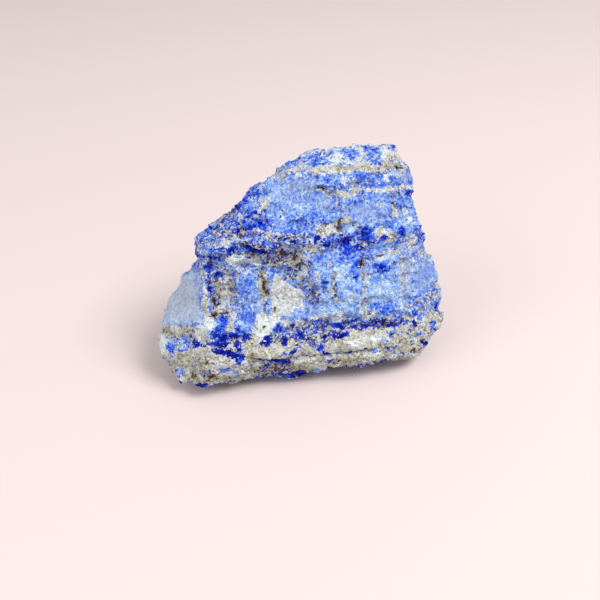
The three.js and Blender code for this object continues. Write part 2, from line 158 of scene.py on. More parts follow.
# Patches on the broad face and the facets beside it, in the order that they are laid:
# (mix, x, s, half-width, half-height, turn in degrees).
PATCHES = [
    # from the cap down to the overhang
    ("speckled blue", -1, 64.5, 4.5, 2),
    ("grey-tan", -5.2, 61.7, 2.2, 1.2),
    ("grey-tan", 1.0, 62.8, 2.4, 1.8),
    ("cream", 26.5, 64.5, 1.8, 3.4, -25),
    ("grey-tan", 28.4, 61.6, 2.4, 1.4, -35),
    ("speckled blue", 3, 59.0, 9, 2.2),
    ("grey sky", 29, 58.8, 2.4, 1.6),
    ("speckled blue", 7, 56.6, 6, 1.0, -4),
    ("powder blue", -2, 56.4, 7, 4.6),
    ("speckled grey", -11.4, 58.8, 2.2, 1.4, 35),
    ("deep blue", -15.4, 55.4, 4.0, 1.6, 35),
    ("navy in grey", -18.2, 54.4, 1.6, 1.0, 40),
    ("deep blue", -14, 51.6, 4.0, 1.8),
    ("cream", -10.4, 54.2, 1.6, 0.7, 15),
    ("navy in grey", -22, 51.2, 4.2, 1.6, 25),
    ("speckled grey", -24, 49, 2.6, 1.4, 25),
    ("mid blue", -25.2, 48.4, 1.8, 1.0, 20),
    ("sky blue", -2, 52.2, 6, 2.2),
    ("deep blue", 2.5, 48.2, 2.6, 1.5),
    ("speckled blue", -5, 47.8, 3.0, 2.0),
    ("powder blue", 6.3, 54.0, 3, 1.7),
    ("grey-tan", 8.4, 54.8, 2.8, 0.7, -45),
    ("cream", 13.4, 55, 2.4, 0.8, 6),
    ("smooth sky", 18.5, 49.8, 5.4, 2.4),
    ("speckled blue", 18, 53.6, 7, 1.2),
    ("light blue", 30.6, 52, 1.4, 2.4),
    ("grey-tan", 29, 47.4, 2.2, 1.6),
    ("sky blue", 18, 46.4, 4, 1.0),
    ("tan", 26.3, 49.6, 0.8, 2.2, 8),
    ("cream", 6.6, 45.9, 3.4, 1.5, 6),
    ("cream", 12.8, 47.6, 1.4, 1.0),
    ("navy in grey", -13.4, 47.2, 3.2, 1.3),
    ("rusty", -17.6, 48, 1.8, 2.4),
    ("navy in grey", -22, 47.8, 4.0, 1.3, 8),
    ("grey-tan", -22.8, 44.8, 4.2, 0.8, 6),
    ("speckled grey", -20.4, 46.4, 1.4, 0.8),
    ("speckled grey", -28.2, 45.2, 1.7, 2.8),
    # the overhang's edge and what is right below it
    ("navy in grey", -4, 44.2, 7, 1.4, -6),
    ("speckled grey", -12.8, 45.0, 3.0, 0.9),
    ("cream", -8.6, 45.6, 2.0, 1.2),
    # Painted shade under the overhang's lip, over dark grains.
    ("dark ledge and painted shade", -11.4, 42.4, 4.8, 1.1, -12),
    ("speckled blue", -26.4, 42, 1.4, 2.4),
    ("deep blue", -21.4, 42.4, 3.2, 1.7),
    ("speckled grey", -17.8, 43.6, 1.3, 1.2),
    ("speckled grey", -27.6, 40, 1.6, 3.2),
    ("speckled grey", -1, 42.4, 4.6, 2.0),
    ("grey-tan", -4.6, 38.6, 6.4, 2.0, -14),
    ("navy in grey", -8.4, 38.4, 3.4, 1.4),
    ("rusty", -4.4, 39.4, 3.6, 0.9, -12),
    ("navy in grey", -0.2, 36.4, 1.8, 1.1),
    ("speckled grey", 5.4, 40.2, 4.4, 1.2),
    ("grey-tan", 3, 40.4, 2.2, 0.8),
    ("pale blue", 13.6, 45.4, 1.8, 1.6),
    ("deep blue", 13.4, 40.8, 3.4, 2.8),
    ("royal", 18.2, 43.8, 1.9, 2.0),
    ("blue on white", 22.8, 43.4, 3.0, 2.2, -20),
    ("cream", 21.8, 43.8, 1.4, 1.2),
    ("cream", 24.8, 42.2, 1.4, 1.2),
    ("sky blue", 28.6, 44.4, 3.0, 3.4),
    ("grey-tan", 31.4, 41, 1.3, 2.4),
    ("grey-tan", 34.4, 36.2, 3.2, 2.6),
    ("cream", 24.6, 37.9, 4.4, 0.45),
    # the hollow
    ("speckled grey", -22, 37, 6, 1.8),
    ("grey-tan", -21, 36.8, 4.6, 0.9),
    ("grey-blue", -35.5, 30.5, 6.4, 7.4),
    ("grey-tan", -28.8, 29, 1.2, 9),
    ("speckled grey", -20.8, 31, 1.6, 4.8),
    ("tan", -23.8, 31.4, 2.4, 4.0, -12),
    ("deep blue", -27, 34, 0.9, 3.4),
    ("speckled grey", -25.8, 28, 1.3, 3.4),
    ("white", -28.4, 22.4, 1.6, 3.0),
    ("grey-tan", -21.8, 23.6, 1.4, 3.6),
    ("tan", -12, 31.4, 1.3, 5.0),
    ("powder blue", -12.8, 25, 1.3, 1.3),
    ("speckled grey", -2.4, 33.2, 4.4, 2.4, -30),
    ("speckled grey", 1.6, 27.5, 2.0, 4.6),
    ("powder blue", 1.4, 22.4, 2.6, 1.8),
    # the pale blue bed and the facets to its right
    ("speckled blue", 11, 36.6, 3.0, 1.4),
    ("light blue", 14.2, 33.4, 1.8, 4.2),
    ("speckled blue", 17.8, 34, 1.6, 3.4),
    ("pale blue", 9.4, 31.6, 2.6, 2.2),
    ("pale blue", 12.4, 26.6, 2.4, 1.6),
    ("pale blue", 22.5, 27.4, 4.2, 1.6),
    ("pale blue", 20, 24.8, 4.6, 1.2),
    ("pale blue", 22.5, 36, 2.8, 0.8),
    ("royal on white", 22, 33.6, 2.4, 1.3),
    ("royal on white", 22.6, 21.4, 3.0, 1.5),
    ("speckled grey", 16.8, 33, 1.0, 3.8),
    ("grey-tan", 16.4, 26, 0.5, 4.6),
    ("speckled grey", 7.8, 29, 0.6, 5.6),
    ("grey sky", 28.6, 30, 1.6, 8.5),
    ("smooth sky", 34, 30, 2.6, 6.0),
    ("speckled grey", 34.4, 21.8, 4.0, 3.0),
    ("grey-tan", 38, 25.6, 1.0, 2.4),
    ("darker tan and painted shade", 37, 17.4, 3.0, 2.2),
    ("pale blue", 9, 23, 3.4, 2.2),
    # the dark parting, partly painted shade, and the white beds below it
    ("speckled grey", -1, 19, 8, 2.2),
    ("pale blue", 9, 20.6, 5, 1.8),
    ("white", 9.4, 20, 3, 0.9),
    ("blue on white", 3, 20.8, 3, 1.0),
    ("deep blue", 13, 18.8, 2.4, 1.0),
    # Dark band under the shelf: dark grains and painted shade.
    ("dark parting and painted shade", 20.4, 17.5, 7.4, 0.8, -6),
    ("grey-tan", -5.5, 20.4, 2.6, 1.2),
    ("speckled grey", 0, 15, 4.8, 2.8),
    ("grey-tan", -0.6, 12.4, 4.4, 1.8),
    ("navy in grey", 2.4, 14.4, 2.6, 1.6),
    ("rusty", 0.5, 16.6, 4.4, 1.4),
    ("navy in grey", 5.6, 15.4, 3.2, 1.5),
    ("dark parting and painted shade", 5.2, 18.4, 2.2, 0.9),
    ("grey-tan", 26.8, 15.2, 3.0, 1.4),
    ("cream", -14, 18.8, 2.6, 3.0),
    ("royal on white", -18.8, 19.4, 1.6, 1.4),
    ("cream", -22.2, 20.6, 1.6, 1.1),
    ("rusty", -26.0, 24.0, 1.4, 1.0),
    ("royal", -25.6, 19.2, 1.9, 2.4),
    ("white", -40.6, 17, 3.4, 3.6),
    ("tan", -36, 21.4, 6.0, 1.7),
    ("blue on white", -37, 17.6, 2.4, 2.2),
    ("cream", -31.6, 19, 1.4, 2.0),
    ("cream", -16.5, 14, 3.4, 2.8),
    ("cream", -12.5, 13, 3.0, 1.6),
    ("darker tan and painted shade", 30.8, 12, 3.6, 4.8),
    ("cream", 9, 7.6, 13, 1.7),
    ("tan", -32, 13, 5, 3.4),
    ("darker tan and painted shade", -39.6, 11.6, 3.0, 4.0),
    ("darker tan and painted shade", -31.6, 7.8, 4.4, 1.8),
    # Painted shade in the recess near the bottom, over a dark patch.
    ("dark parting and painted shade", -10.6, 7.0, 4.6, 1.9),
    ("grey-tan", 26, 6.6, 6, 1.4),
]

# Flat plates of one mineral: (mix, height above the rock round it, corners as x and s).
PLATES = [
    # the azure strip
    (
        "light blue", 0.5,
        [(-19.2, 22.4), (-19.9, 27), (-19.2, 31), (-18.2, 34.2), (-15, 33.8), (-13.8, 31), (-14, 26),
         (-14.3, 22.2), (-16.8, 21.6)],
    ),
    # the calcite plate, and its foot
    (
        "calcite", 0.7,
        [(-10.6, 22.4), (-10.4, 30), (-9.4, 33), (-8.2, 35.4), (-7, 33.2), (-5.6, 32.4), (-4.4, 30.8),
         (-2.4, 29.8), (-1, 29.3), (-0.8, 27.6), (-1.5, 26.2), (-1.1, 24.4), (-2.6, 23), (-4.4, 23.2),
         (-6, 21.8)],
    ),
    (
        "white", 0.2,
        [(-15.4, 18), (-15, 22), (-13.2, 24.6), (-10.2, 23.4), (-8, 22.6), (-8.6, 20.4), (-11, 19.6),
         (-12, 17)],
    ),
    # the white below the overhang
    (
        "bright white", 0.35,
        [(-22.8, 40.4), (-21, 40.6), (-19.6, 41.4), (-18.4, 40.8), (-17, 41.6), (-15.8, 40.4),
         (-14.4, 40.6), (-13.2, 39.8), (-12, 40.2), (-12.4, 38.4), (-14.2, 37.6), (-15.6, 38.4),
         (-17.2, 37.9), (-18.6, 38.8), (-20.2, 38.4), (-21.4, 39.4)],
    ),
    # the cream bed
    (
        "cream", 0.35,
        [(4.6, 12.4), (6.6, 10.9), (20, 10.4), (23.2, 11), (24.8, 12.4), (23.2, 14.4), (21, 15.4),
         (16, 16), (12.8, 15.8), (11.8, 14.6), (8.4, 13.2), (5.4, 13.6)],
    ),
]
PLATE_EDGE = 0.25  # how wide the step at the edge of a plate is, each way

# Small spots of one mineral, laid last, in the same form as the patches.
SPOTS = {
    "navy": [
        (-17.6, 54.4, 0.6, 0.5, 40), (-22, 50.6, 0.6, 0.4), (-25.5, 49.5, 0.5, 0.5), (-18, 48, 1.1, 0.7),
        (-15.8, 49.8, 0.8, 0.5), (-20.2, 42.2, 1.0, 0.8), (-22.6, 43.4, 0.7, 0.5), (-26.6, 40.5, 0.8, 1.5),
        (-13.4, 41.8, 2.8, 0.7, -12), (-9.4, 41.2, 1.6, 0.5, -10), (-3, 43.4, 1.1, 0.5),
        (-5.4, 41, 1.2, 0.5, -15), (3.6, 42.6, 0.7, 0.9), (-27, 35, 0.7, 1.0, 15), (-9, 37.8, 0.7, 0.5),
        (4, 43.8, 1.3, 0.6), (-5.4, 44.6, 0.6, 0.4), (12.4, 42.2, 1.6, 1.1), (6.6, 41.6, 1.2, 0.6),
        (-22.2, 18.2, 1.9, 1.1), (-26.6, 16.4, 3.2, 0.5), (-25.0, 15.5, 1.8, 0.6),
        (-25.6, 13.8, 3.0, 1.0, -8), (-22.4, 13.0, 2.0, 1.0, -6), (-20.6, 15.0, 0.8, 1.2),
        (-32, 17.4, 1.1, 1.5), (-17.8, 17.6, 1.2, 0.7),
        (-12.8, 15.6, 1.4, 1.1), (-11.6, 17, 0.8, 0.7), (-7.3, 15, 0.8, 1.0), (-4.6, 19.4, 0.6, 0.5),
        (-2.2, 16.8, 0.8, 0.6), (-4, 13.8, 0.6, 0.5), (-5.4, 12, 1.4, 0.5), (-0.4, 14.6, 0.5, 0.4),
        (8.6, 17.9, 2.0, 0.9, -12), (10.2, 16.7, 0.5, 0.4), (9, 14.9, 2.3, 1.0), (4.5, 15.2, 1.0, 0.6),
        (12.4, 17.2, 0.8, 0.6), (4.8, 10.8, 1.9, 0.45, -8), (16.3, 11, 0.7, 0.6), (-11, 9.7, 3.6, 0.5, -9),
        (-7.6, 8.9, 1.1, 0.7), (-13.5, 8.2, 1.0, 0.3), (16.2, 17.2, 1.5, 0.6), (20, 17.9, 2.6, 0.4, -8),
        (24.4, 16.8, 2.2, 0.5, -8), (27.5, 17.6, 0.7, 0.8), (22.6, 9.4, 0.7, 0.6), (12, 9.8, 1.4, 0.25),
        (-38, 7, 1.2, 0.8), (-32, 5.6, 1.6, 0.7), (-41.6, 12.4, 0.8, 1.8, 20), (33.6, 10.2, 1.0, 0.8),
        (31.2, 16.4, 1.1, 0.4, -40), (4.8, 5.1, 2.0, 0.4), (30.8, 54.4, 1.3, 0.7), (-4, 5, 3.4, 0.5),
    ],
    "royal on white": [
        (5.8, 65.6, 1.6, 0.9, 20), (8.8, 67.1, 1.1, 0.7), (3.8, 66.2, 1.0, 0.5), (13.2, 67.1, 1.2, 0.7),
        (15.8, 65.9, 1.7, 0.9, -15), (19.6, 67.3, 0.8, 0.8), (21.4, 67, 1.2, 0.8), (20.4, 65.3, 0.9, 0.9),
        (22.6, 65.4, 0.8, 1.0), (26.2, 66.7, 0.7, 0.7), (6, 64.2, 2.8, 0.4), (13.6, 63.9, 2.2, 0.35, -10),
        (22, 63.9, 1.6, 0.5), (2.2, 65.2, 0.8, 0.5), (-37.6, 19.2, 2.2, 0.5, -10), (-39.4, 17, 0.7, 1.4),
        (-36, 16, 1.8, 0.4), (-34.8, 18.4, 0.7, 0.7), (-24.8, 8.5, 2.4, 0.7, -8), (3.4, 19.6, 1.4, 0.7),
    ],
    "mid blue": [
        (17.6, 59.4, 1.2, 0.6), (20.8, 57.9, 1.1, 0.8), (23.4, 57.6, 0.8, 0.8), (26.8, 58.2, 1.8, 0.5),
        (7.4, 59.4, 1.2, 0.5), (37.8, 20.6, 0.7, 1.3), (36.3, 14.8, 0.7, 1.2), (32.6, 13.2, 0.8, 0.6, 30),
        (30.6, 19.4, 0.8, 1.0), (32.6, 17.6, 1.4, 0.5, -25), (23, 20.8, 2.2, 1.6), (19.8, 22.6, 1.8, 1.0),
    ],
    "royal": [
        (28.3, 43.3, 1.0, 1.2), (22.8, 42, 1.1, 0.9), (13.6, 39.6, 2.4, 1.0), (-11.5, 48.6, 2.0, 1.1),
        (-24.3, 22.8, 0.9, 1.7), (-26.2, 19.6, 1.9, 1.1), (-26.6, 31.8, 1.0, 1.2), (-9, 19.4, 1.3, 1.0),
        (2.4, 12.2, 0.9, 1.0), (5.5, 7.7, 0.9, 0.6), (-20, 11.8, 1.0, 1.3), (-21, 10.6, 0.8, 0.6),
        (23.8, 13.8, 1.0, 0.8, -20), (21.8, 34.2, 1.7, 0.7), (14.2, 31, 0.7, 0.9), (14.6, 35.6, 1.1, 1.3),
        (5, 30.6, 0.8, 1.2), (-20, 20.6, 0.8, 0.8), (-27.6, 38, 0.7, 1.2), (-14, 48.6, 1.6, 0.8),
        (-15.6, 55.6, 1.6, 0.8, 40), (-24.2, 17.8, 1.7, 1.0), (-23.6, 35.6, 1.3, 0.9),
    ],
    "light blue": [
        (-22, 7.6, 1.2, 0.5), (19, 8.8, 0.9, 0.6), (22, 12, 0.9, 0.5, 20), (-30, 31, 0.8, 2.4),
        (-37.5, 9.8, 1.0, 1.2), (12, 21, 1.6, 0.7), (-3, 23, 1.3, 1.1), (1.5, 5.3, 1.3, 0.4),
        (23.8, 58.8, 0.5, 0.7), (-6.4, 63.4, 1.0, 0.6), (-2.4, 64.4, 1.4, 0.8), (-0.4, 49.0, 1.6, 0.9),
    ],
    "white": [
        (11.1, 66.4, 0.9, 1.2), (17.8, 66.4, 0.4, 1.3), (24.2, 66, 0.6, 1.2), (12, 59.2, 0.9, 0.9),
        (24.4, 59, 0.6, 0.8), (30.2, 46.6, 0.6, 0.8), (-1, 34.2, 1.1, 1.2), (12, 12.6, 1.6, 1.0),
        (19.5, 13, 1.4, 1.0), (-42.2, 17, 0.6, 2.2), (-15.6, 26.4, 0.4, 1.6), (-31, 20.5, 1.2, 2.0),
        (-27.2, 22.4, 0.8, 1.4), (9.2, 21.4, 0.7, 0.9),
    ],
    "tan": [
        (-30.3, 18, 0.5, 0.9), (12.4, 26.3, 0.9, 0.5), (8.3, 33.4, 0.6, 0.9), (7, 35.8, 0.8, 0.5),
        (17, 40.3, 1.0, 0.5), (24.6, 37.6, 1.4, 0.4), (21.4, 37.4, 0.8, 0.35), (17.4, 20.6, 2.2, 0.7),
        (25.6, 41, 1.0, 0.5), (8.0, 25.6, 0.5, 1.0), (7.3, 29.2, 0.4, 0.9), (16.3, 30.5, 0.4, 1.6),
        (26.2, 48.8, 0.9, 0.9), (-17, 51, 0.5, 0.9), (-24.6, 26.6, 1.6, 0.7), (-16.6, 39.2, 1.4, 0.7),
        (8, 9.2, 2.0, 0.4),
    ],
    "brown": [
        (10.6, 47.2, 0.6, 1.3), (10.5, 45.9, 0.8, 0.5), (26, 51.4, 0.4, 1.0, 10), (19, 58.6, 0.4, 0.7),
        (5.8, 57.1, 1.0, 0.4, -32), (-17.2, 46.6, 0.5, 0.9), (-9.5, 57, 0.5, 0.4), (-6, 39.8, 0.7, 0.6),
        (-14.5, 40.5, 0.5, 0.3), (-1.8, 36.2, 1.3, 0.4, 8), (-3.6, 37.9, 0.5, 0.5),
        (-26, 28.8, 0.5, 1.2, 15), (-28.8, 7.0, 1.2, 0.5), (-34, 9.4, 0.5, 0.4),
        (-12.6, 37.0, 0.4, 0.7), (-26.4, 24.9, 1.2, 0.7),
        (-23.6, 25.1, 1.1, 0.5), (-11.8, 31.4, 0.5, 1.1), (-11.2, 29.6, 0.6, 0.7), (-9.7, 24.9, 0.6, 0.7),
        (-12.9, 20.1, 0.6, 0.5), (17.3, 41.8, 0.5, 0.4), (21.6, 37.5, 0.8, 0.25), (-29.5, 11.4, 0.5, 0.5),
        (-33.4, 8.2, 0.9, 0.5), (-30.5, 6.4, 0.7, 0.4), (-40.5, 22, 0.6, 0.5), (28.6, 61.6, 1.2, 0.4, -30),
        (8.4, 44.6, 0.8, 0.25), (30, 7.8, 1.2, 0.4), (16.3, 35.6, 0.3, 0.9), (-27, 34.4, 0.4, 0.4),
        (9, 4.9, 1.4, 0.3),
    ],
}
PATCH_WANDER = ((2.4, 0.7), (0.9, 0.35))  # lengths over which a patch's edge wanders, and how far
PATCH_STRETCH = 2.5  # how many times as long its wanders up and down are along the beds as across them
PATCH_RIM = 0.5  # the share of its half-size, each way from its edge, over which a patch fades out
PATCH_CORNERS = 2.4  # 2 makes patches ellipses, and more makes them boxes

# How each measure drifts within a bed: over which length, in millimetres, and how far.
DRIFT = {
    "blue": ((4.0, 0.14), (1.3, 0.16)),
    "tone": ((3.0, 0.13), (1.1, 0.16)),
    "stain": ((3.0, 0.14), (1.2, 0.14)),
    "dirt_and_shade": ((3.0, 0.09), (1.2, 0.09)),
}

# ---- relief, in millimetres ----

# Broken plates that lie one above another: (size, step from one to the next, how many steps up and down).
TERRACES = ((8.0, 0.5, 2.2), (3.6, 0.26, 1.8))
TERRACE_STRETCH = 1.2  # how many times as long along the beds as across them the plates are
TERRACE_FLAT = 0.8  # the share of the way from one plate to the next that is flat, before the step
CHIPS = ((3.0, 0.2), (1.5, 0.24), (0.9, 0.22))  # sizes of the flat chips, and how steeply they lean
CHIP_SPREAD = 37  # spreads the chips over the cells of the noise, so that each leans its own way
SUGAR = (0.8, 0.12)  # size and height of the grains that stand out of the broken rock
SUGAR_IN_BLUE = 0.6  # times that height where all is lazurite. Where all is matrix, it is 1 more
LAMINAE = (1.3, 0.06)  # thickness of the thin layers within a bed, and how far one may stand out or back
LAMINAE_WANDER = (6.0, 0.6)  # the length over which they wander up and down, and how far
LAMINA_FLAT = 0.7  # the share of a layer's thickness that is flat, before the step to the next
LAMINAE_COUNT, LAMINAE_BELOW = 200, 50  # how many layers there are, and how many of them lie below s = 0
VEIL_FILLS = 0.6  # the share of the chips, plates and layers that a full veil of powder fills
PIT_DEPTH = 0.35  # of a spot that is all limonite
PIT_DIRT = (0.3, 0.8)  # the shares of limonite at which a pit begins, and at which it has that depth
FLAT_SPOT = (0.02, 1.0)  # the relief sets in between these heights above the flat spot

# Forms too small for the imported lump: (x, s, half-width, half-height, how far it stands out).
FORMS = [
    (-3.2, 63.4, 2.6, 1.8, 1.0),
    (-8.2, 60.2, 1.8, 0.9, -0.4),
    (-23.5, 30.5, 3.0, 5.0, -0.3),
    (-12.4, 31, 1.5, 4.6, -0.4),
    (3, 26, 3.0, 5, -0.4),
    (-9, 44.4, 9, 1.6, 0.5),
    (-17.4, 38.4, 4.8, 2.2, 1.0),
    (9, 21.6, 5.0, 1.6, 0.3),
    (-2.4, 34.4, 4, 2.2, -0.4),
    (-25.5, 18.5, 3.6, 3.2, 0.6),
    (8.6, 17, 2.6, 2.4, 0.4),
    (-37, 17.4, 3.2, 2.4, 0.5),
    (-38, 7.4, 1.6, 1.2, 0.6),
    (-32, 6, 1.8, 1.0, 0.6),
]
FORM_RIM = 0.2  # like the rim of a patch

# Cracks and partings: (width, depth, the points that it runs through, as x and s).
GROOVES = [
    (0.8, 0.5, [(-12.3, 37.4), (-11.9, 32), (-11.1, 29)]),
    (0.5, 0.4, [(16.6, 38), (16.2, 33), (16.4, 28), (15.9, 22)]),
    (0.5, 0.3, [(8.2, 34), (7.8, 30), (7.4, 24)]),
    (0.7, 0.5, [(4.8, 57.6), (7.2, 56), (8.2, 55.2)]),
    (0.4, 0.3, [(1, 58), (3, 55), (4.4, 52)]),
    (0.7, 0.6, [(-20, 12), (-14, 10.3), (-5, 9.7), (6, 10.2), (14, 9.6), (24, 9.7)]),
    (0.9, 0.7, [(-18, 43.4), (-13, 41.7), (-6, 40.4), (-1, 37)]),
    (0.7, 0.5, [(-27.4, 37), (-26.8, 33), (-26.2, 29), (-25.8, 25.4), (-22.4, 25)]),
    (0.8, 0.3, [(28.2, 38), (28.8, 32), (28, 26), (28.8, 20)]),
    (0.8, 0.5, [(10, 18.4), (17, 17.8), (22, 17.2), (28, 16.7)]),
]
GROOVE_SIDES = (0.2, 0.7)  # where a groove's side begins and ends, in widths from its middle
GROOVE_DIRT = 0.12  # the share of limonite at the bottom of a groove
HOLLOW_LIMONITE_AND_SHADE = 0.16  # and where the relief is lowest: limonite that gathers in hollows, and painted shade there too
HOLLOW_DEPTH = (-0.1, 0.7)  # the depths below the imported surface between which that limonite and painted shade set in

# Where in the noise each pattern is read, so that no two are alike.
SEEDS = {
    "beds": 4.7,
    "bed edges": 8.2,
    "patch edges, x": 11,
    "patch edges, s": 23,
    "drift": 31,
    "layers": 51,
    "sugar": 61,
    "terraces": 71,
    "stray patches": 83,
    "veins": 131,
}
DRIFT_STEP, STRAY_STEP = 6, 7  # how far on the next one of the same kind is read
LAYER_HEIGHTS_SEED = 5  # of the random heights of the thin layers
FRACTAL = (1, 2)  # each octave of the noise is half as strong as the one before, and twice as fine

# ---- the view and the light, in millimetres and degrees where no other unit is named ----

CAMERA_AT = (-38.1, -213.8, 166.1)
CAMERA_LOOKS_DOWN = 34.43
CAMERA_TURNED = -10.16
LENS, SENSOR = 35, 24
CLIP = (0.01, 10)  # metres
TABLE_SIZE = 6  # metres
ROCK_MIDDLE = (0, 0, 0.03)  # metres

# Soft lights like windows: watts, and width and place in metres.
WINDOWS = {
    "window, right": (7.4, 0.4, (0.42, -0.3, 0.75)),
    "window, left": (3.6, 0.7, (-0.7, -0.35, 0.45)),
}
ROOM_LIGHT = 0.74  # how strong the pale light from all round is


def smoothstep(value, low, high):
    """0 below low, 1 above high, and a smooth rise between them."""
    share = np.clip((value - low) / (high - low), 0, 1)
    return share * share * (3 - 2 * share)


# ---- the lump's surface as arrays ----


def turned_to_face(vectors):
    """Turns vectors from the lump's frame to the broad face's, along x, s and w."""
    x, y, z = vectors.T
    up = y * sin(FACE_LEAN) + z * cos(FACE_LEAN)
    out = z * sin(FACE_LEAN) - y * cos(FACE_LEAN)
    return np.stack([x, up, out], axis=1)


def read(collection, name):
    """A vector for each vertex."""
    values = np.empty(len(collection) * 3, dtype=np.float32)
    collection.foreach_get(name, values)
    return values.reshape(-1, 3).astype(float)


def swell(places, length, seed, octaves=2, along=BED_STRETCH):
    """Noise from about -1 to 1. Its swells are "length" high, and "along" times as long along the beds."""
    scaled = places / (length * np.array([along, 1, along])) + seed
    return np.array([noise.fractal(place, *FRACTAL, octaves) for place in scaled.tolist()])


class Layout:
    """The surface's points on the broad face's plane, as seen from where the patches are laid out."""

    def __init__(self, places, facing):
        eye = np.array(LAID_OUT_FROM)
        to_plane = -places[:, 2] / (eye[2] - places[:, 2])
        self.x, self.s, _ = (places + to_plane[:, None] * (eye - places)).T
        self.seen_s = self.s.copy()
        for number, (length, reach) in enumerate(PATCH_WANDER):
            self.x += reach * swell(places, length, SEEDS["patch edges, x"] + number)
            self.s += reach * swell(places, length, SEEDS["patch edges, s"] + number, along=PATCH_STRETCH)
        sight = eye - places
        sight /= np.linalg.norm(sight, axis=1, keepdims=True)
        self.in_view = smoothstep((sight * facing).sum(axis=1), *IN_VIEW)

    def patch(self, x, s, wide, high, turn=0, rim=PATCH_RIM):
        """1 inside a rounded patch, 0 outside it."""
        angle = radians(turn)
        across, up = self.x - x, self.s - s
        along = np.abs(across * cos(angle) + up * sin(angle)) / wide
        over = np.abs(up * cos(angle) - across * sin(angle)) / high
        from_middle = (along**PATCH_CORNERS + over**PATCH_CORNERS) ** (1 / PATCH_CORNERS)
        return self.in_view * (1 - smoothstep(from_middle, 1 - rim, 1 + rim))

    def off_line(self, points):
        """How far each place is from a line through the points."""
        off = np.full(len(self.x), np.inf)
        for (x0, s0), (x1, s1) in zip(points, points[1:]):
            run, rise = x1 - x0, s1 - s0
            share = np.clip(((self.x - x0) * run + (self.s - s0) * rise) / (run**2 + rise**2), 0, 1)
            off = np.minimum(off, np.hypot(self.x - x0 - share * run, self.s - s0 - share * rise))
        return off

    def groove(self, width, points):
        """1 along the middle of a line through the points, 0 beside it."""
        inner, outer = GROOVE_SIDES
        return self.in_view * (1 - smoothstep(self.off_line(points), inner * width, outer * width))

    def plate(self, corners):
        """1 inside the corners, 0 outside them."""
        inside = np.zeros(len(self.x), dtype=bool)
        ring = corners + corners[:1]
        for (x0, s0), (x1, s1) in zip(ring, ring[1:]):
            if s0 != s1:
                crosses = (self.s > min(s0, s1)) & (self.s <= max(s0, s1))
                inside ^= crosses & (self.x < x0 + (self.s - s0) * (x1 - x0) / (s1 - s0))
        depth = self.off_line(ring) * np.where(inside, 1, -1)
        return self.in_view * smoothstep(depth, -PLATE_EDGE, PLATE_EDGE)


# ---- the minerals ----


def lay(minerals, mix, cover):
    """Lays a mix over the minerals that are there: all of it where "cover" is 1, and none where it is 0."""
    minerals += cover[:, None] * (np.array(MIXES[mix]) - minerals)


def lay_beds(minerals, places, layout):
    """Lays the beds. Where the patches reach, a bed's level is measured up the plane that they lie on."""
    level = places[:, 1] + layout.in_view * (layout.seen_s - places[:, 1])
    (length, height), (ragged_length, ragged_height) = BED_WANDER, BED_RAGGED
    same_at_every_height = places * (1, 0, 1)
    wander = height * swell(same_at_every_height, length, SEEDS["beds"], along=1)
    level += wander + ragged_height * swell(places, ragged_length, SEEDS["bed edges"])
    for mix, foot in BEDS:
        lay(minerals, mix, smoothstep(level, foot - BED_BLUR, foot + BED_BLUR))


def lay_strays(minerals, places, out_of_view):
    """Lays the patches at random, and then the white veins, where the other patches don't reach."""
    for number, (mix, size, share) in enumerate(STRAY_PATCHES):
        field = swell(places, size, SEEDS["stray patches"] + STRAY_STEP * number, 3, STRAY_STRETCH)
        edge = np.quantile(field, 1 - share)
        lay(minerals, mix, out_of_view * smoothstep(field, edge - STRAY_RIM, edge + STRAY_RIM))
    vein = np.abs(swell(places, VEIN_LENGTH, SEEDS["veins"], 3, along=1))
    edge = np.quantile(vein, VEIN_SHARE)
    beside = smoothstep(vein, (1 - VEIN_RIM) * edge, (1 + VEIN_RIM) * edge)
    lay(minerals, "white", out_of_view * (1 - beside))


def lay_patches(minerals, layout):
    """Lays the patches, the plates and the spots, and then the limonite in the grooves."""
    for mix, *patch in PATCHES:
        lay(minerals, mix, layout.patch(*patch))
    for mix, _, corners in PLATES:
        lay(minerals, mix, layout.plate(corners))
    for mix, spots in SPOTS.items():
        for spot in spots:
            lay(minerals, mix, layout.patch(*spot))
    for width, _, points in GROOVES:
        minerals[:, DIRT_AND_SHADE] += GROOVE_DIRT * layout.groove(width, points)


def drift(minerals, places):
    """No bed is the same all along: each measure drifts from place to place."""
    for number, (name, waves) in enumerate(DRIFT.items()):
        for length, reach in waves:
            drifted = reach * swell(places, length, SEEDS["drift"] + DRIFT_STEP * number)
            minerals[:, MEASURES.index(name)] += drifted


# ---- the relief ----


def chips(places, size, slope):
    """Heights of flat chips: cells of a Voronoi pattern that lean their own ways and meet at sharp edges."""
    heights = []
    for place in (places / size).tolist():
        centre = noise.voronoi(place)[1][0]
        tilt = 2 * noise.cell_vector(centre * CHIP_SPREAD) - Vector((1, 1, 1))
        heights.append(tilt.dot(Vector(place) - centre))
    return slope * size * np.array(heights)


def terraces(places, size, step, count, seed):
    """Heights of flat plates, split one from the next by a sharp step."""
    level = count * swell(places, size, seed, along=TERRACE_STRETCH)
    whole = np.floor(level)
    return step * (whole + smoothstep(level - whole, TERRACE_FLAT, 1))


def laminae(places):
    """Heights of the thin layers, each as proud as it happens to be."""
    thickness, proud = LAMINAE
    length, reach = LAMINAE_WANDER
    heights = np.random.default_rng(LAYER_HEIGHTS_SEED).uniform(-proud, proud, LAMINAE_COUNT)
    layer = (places[:, 1] + reach * swell(places, length, SEEDS["layers"])) / thickness + LAMINAE_BELOW
    index = np.floor(layer).astype(int)
    share = smoothstep(layer - index, LAMINA_FLAT, 1)
    return heights[index] * (1 - share) + heights[index + 1] * share


